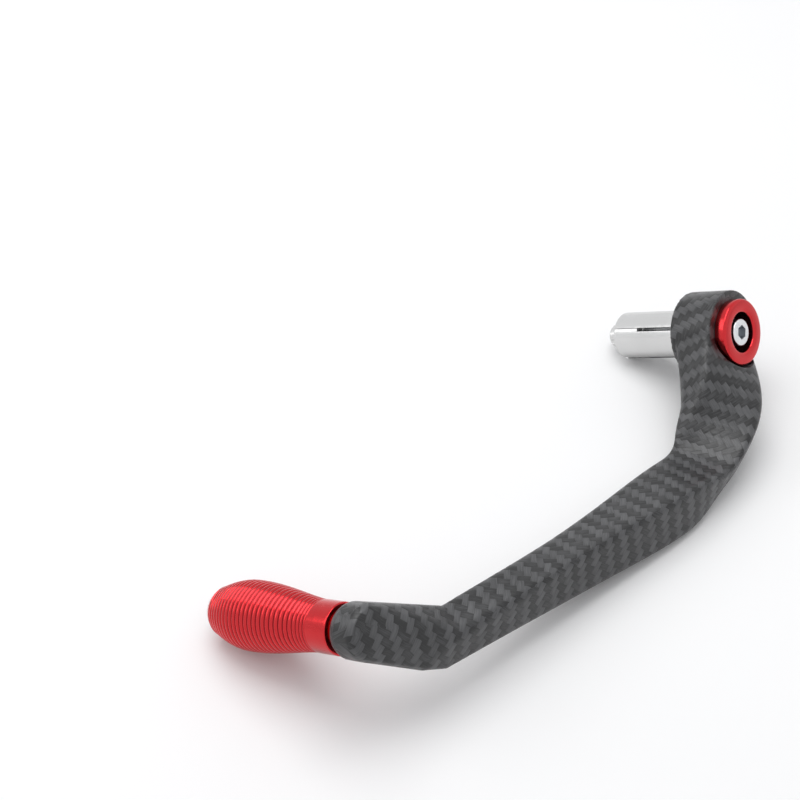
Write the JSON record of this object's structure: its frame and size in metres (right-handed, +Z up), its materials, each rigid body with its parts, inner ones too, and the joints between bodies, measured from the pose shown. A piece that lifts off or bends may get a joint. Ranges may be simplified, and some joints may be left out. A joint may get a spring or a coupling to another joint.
{
  "type": "motorcycle lever guard",
  "caption": "Motorcycle lever guard: a twisted, bent carbon-look arm with a red end collar, a slotted expander sleeve for the handlebar end and a ribbed red grip bar",
  "frame": {"origin": "on the handlebar axis, at the inboard face of the arm's boss", "axes": "X runs outboard along the handlebar axis, the arm reaches forward along -Y to the grip bar, Z points up"},
  "size_m": [0.0854, 0.1878, 0.05],
  "materials": {
    "carbon_arm": "satin carbon-look film with a 2x2 twill on a moulded fibre-reinforced plastic arm",
    "red_anodised": "turned and candy-red anodised",
    "polished_aluminium": "turned and polished",
    "zinc_steel": "bright zinc-plated",
    "steel_bush": "plain turned",
    "brass_insert": "plain turned"
  },
  "bodies": {
    "root": {"guard_arm": "carbon_arm", "boss_bush": "steel_bush", "end_collar": "red_anodised", "lock_washer": "zinc_steel", "expander_bolt": "zinc_steel", "expander_sleeve": "polished_aluminium", "wedge_nut": "polished_aluminium", "grip_insert": "brass_insert", "grip_bar": "red_anodised", "grip_bolt": "zinc_steel"}
  },
  "joints": []
}
